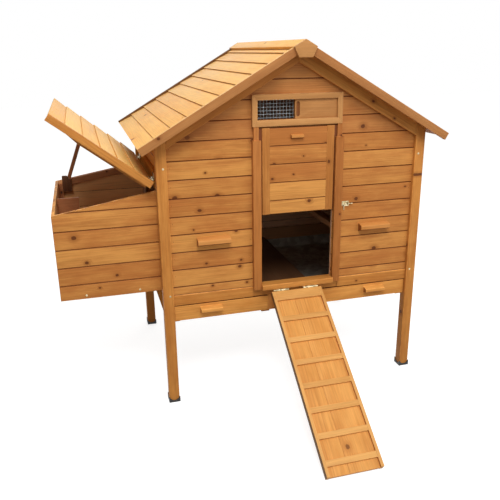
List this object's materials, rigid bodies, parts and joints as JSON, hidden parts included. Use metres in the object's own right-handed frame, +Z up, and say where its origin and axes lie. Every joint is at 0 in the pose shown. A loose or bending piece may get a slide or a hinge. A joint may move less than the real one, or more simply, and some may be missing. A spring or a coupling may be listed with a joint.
{
  "type": "raised chicken coop",
  "caption": "Raised timber poultry house with pitched board roof, sliding pop door, folding ramp, lidded nest box, vent shutter and pull-out trays.",
  "frame": {"origin": "centre of the footprint of the whole, ramp and propped nest lid included, on the ground", "axes": "+Z up, -Y towards the front with the pop door and ramp, -X towards the nest box"},
  "size_m": [1.5084, 1.4898, 1.3831],
  "materials": {
    "wall_wood": "satin stain",
    "frame_wood": "satin stain",
    "roof_wood": "satin stain",
    "ramp_wood": "satin stain",
    "dark_wood": "satin stain",
    "zinc": "zinc plated",
    "black_plastic": "moulded"
  },
  "bodies": {
    "house": {"leg_front_left": "frame_wood", "leg_front_right": "frame_wood", "leg_rear_left": "frame_wood", "leg_rear_right": "frame_wood", "foot_caps": "black_plastic", "bottom_rails": "frame_wood", "front_wall_left": "wall_wood", "front_wall_right": "wall_wood", "front_wall_upper": "wall_wood", "front_gable": "wall_wood", "gable_trims": "frame_wood", "rear_wall": "wall_wood", "left_wall": "wall_wood", "right_wall": "wall_wood", "inner_battens": "frame_wood", "side_skirts": "frame_wood", "tray_bearers": "frame_wood", "centre_floor": "frame_wood", "pop_sill": "frame_wood", "door_rail_left": "frame_wood", "door_rail_right": "frame_wood", "panel_handles": "frame_wood", "vent_frame": "frame_wood", "vent_mesh": "zinc", "bolt_base": "zinc", "roof_boards_left": "roof_wood", "roof_boards_right": "roof_wood", "roof_frame": "frame_wood", "bargeboards": "frame_wood", "ridge_cap": "roof_wood", "ridge_plates": "frame_wood", "nest_front": "wall_wood", "nest_back": "wall_wood", "nest_end": "wall_wood", "nest_floor": "dark_wood", "nest_divider": "dark_wood", "nest_posts": "dark_wood", "prop_seat": "dark_wood", "hinge_ledger": "frame_wood", "fixed_hinge_leaves": "zinc", "perches": "frame_wood", "screws": "zinc"},
    "pop_door": {"pop_door_boards": "wall_wood", "pop_door_stiles": "frame_wood", "pop_door_handle": "frame_wood"},
    "vent_shutter": {"vent_shutter": "frame_wood"},
    "door_bolt": {"bolt_rod": "zinc"},
    "nest_lid": {"lid_boards": "roof_wood", "lid_frame": "frame_wood", "lid_hinge_leaves": "zinc"},
    "lid_prop": {"lid_prop": "dark_wood"},
    "ramp": {"ramp_boards": "ramp_wood", "ramp_rails": "ramp_wood", "ramp_cleats": "ramp_wood", "ramp_hinge_leaves": "zinc"},
    "tray_left": {"tray_left_pan": "zinc", "tray_left_front": "frame_wood"},
    "tray_right": {"tray_right_pan": "zinc", "tray_right_front": "frame_wood"}
  },
  "joints": [
    {"name": "pop_door_slide", "type": "slide", "parent": "house", "child": "pop_door", "axis": [0, 0, -1], "range_m": [0, 0.2825]},
    {"name": "vent_shutter_slide", "type": "slide", "parent": "house", "child": "vent_shutter", "axis": [-1, 0, 0], "range_m": [0, 0.144]},
    {"name": "door_bolt_slide", "type": "slide", "parent": "house", "child": "door_bolt", "axis": [1, 0, 0], "range_m": [-0.013, 0]},
    {"name": "ramp_hinge", "type": "hinge", "parent": "house", "child": "ramp", "pos_m": [0.14575, -0.15011, 0.4445], "axis": [-1, 0, 0], "range_deg": [0, 125.5]},
    {"name": "nest_lid_hinge", "type": "hinge", "parent": "house", "child": "nest_lid", "pos_m": [-0.38625, 0.23589, 0.90331], "axis": [0, -1, 0], "range_deg": [0, 47.4]},
    {"name": "lid_prop_pivot", "type": "hinge", "parent": "nest_lid", "child": "lid_prop", "pos_m": [-0.60719, 0.52689, 1.04076], "axis": [0, -1, 0], "range_deg": [0, 73.8]},
    {"name": "tray_left_slide", "type": "slide", "parent": "house", "child": "tray_left", "axis": [0, -1, 0], "range_m": [0, 0.6]},
    {"name": "tray_right_slide", "type": "slide", "parent": "house", "child": "tray_right", "axis": [0, -1, 0], "range_m": [0, 0.6]}
  ],
  "couplings": [
    {"joint": "lid_prop_pivot", "follows": "nest_lid_hinge", "ratio": 1.5527}
  ]
}
